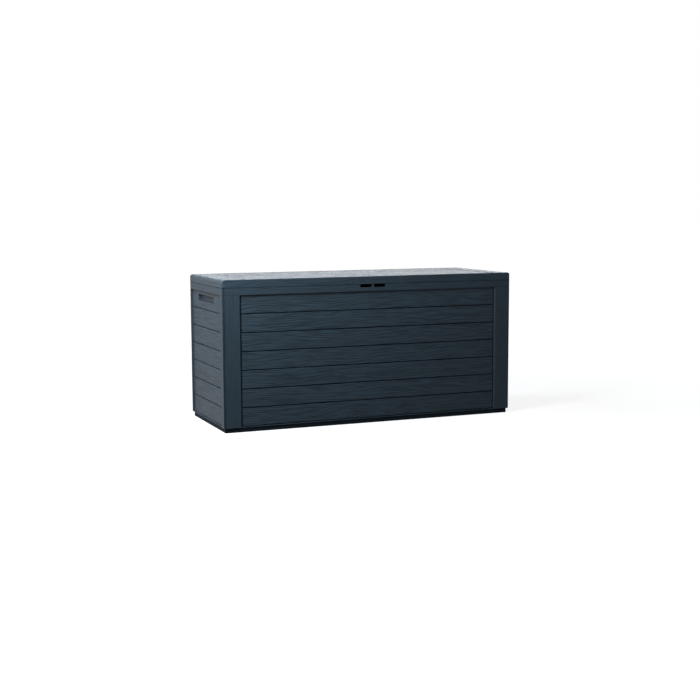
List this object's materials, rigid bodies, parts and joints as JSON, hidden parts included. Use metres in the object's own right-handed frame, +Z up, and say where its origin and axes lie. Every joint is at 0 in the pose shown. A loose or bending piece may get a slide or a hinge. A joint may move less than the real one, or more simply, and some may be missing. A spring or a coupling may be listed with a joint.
{
  "type": "deck storage box",
  "caption": "Long rectangular resin storage chest with plank-pattern walls, recessed end handles, a plinth base and a flat hinged lid.",
  "frame": {"origin": "centre of the box's footprint, on the ground under the base", "axes": "+X to the right along the length, seen from the front; front with the padlock windows at -Y, hinges at +Y; +Z up"},
  "size_m": [1.16, 0.4378, 0.55],
  "materials": {
    "walls": "anthracite injection-moulded resin, embossed wood grain, satin-matte",
    "lid": "anthracite injection-moulded resin, embossed wood grain, satin-matte",
    "base": "anthracite injection-moulded resin, plain fine texture",
    "fittings": "black nylon, smooth with a faint moulding texture"
  },
  "bodies": {
    "chest": {"base_tray": "base", "front_wall": "walls", "rear_wall": "walls", "left_wall": "walls", "right_wall": "walls", "hinge_pin_left": "fittings", "hinge_pin_middle": "fittings", "hinge_pin_right": "fittings", "corner_stud_front_left_lower": "fittings", "corner_stud_front_left_upper": "fittings", "corner_stud_front_right_lower": "fittings", "corner_stud_front_right_upper": "fittings", "corner_stud_rear_left_lower": "fittings", "corner_stud_rear_left_upper": "fittings", "corner_stud_rear_right_lower": "fittings", "corner_stud_rear_right_upper": "fittings", "floor_stud_front_left": "fittings", "floor_stud_front_middle": "fittings", "floor_stud_front_right": "fittings", "floor_stud_rear_left": "fittings", "floor_stud_rear_middle": "fittings", "floor_stud_rear_right": "fittings", "floor_stud_left_end": "fittings", "floor_stud_right_end": "fittings"},
    "lid_body": {"lid": "lid"}
  },
  "joints": [
    {"name": "lid_hinge", "type": "hinge", "parent": "chest", "child": "lid_body", "pos_m": [0, 0.213, 0.521], "axis": [-1, 0, 0], "range_deg": [0, 105]}
  ]
}
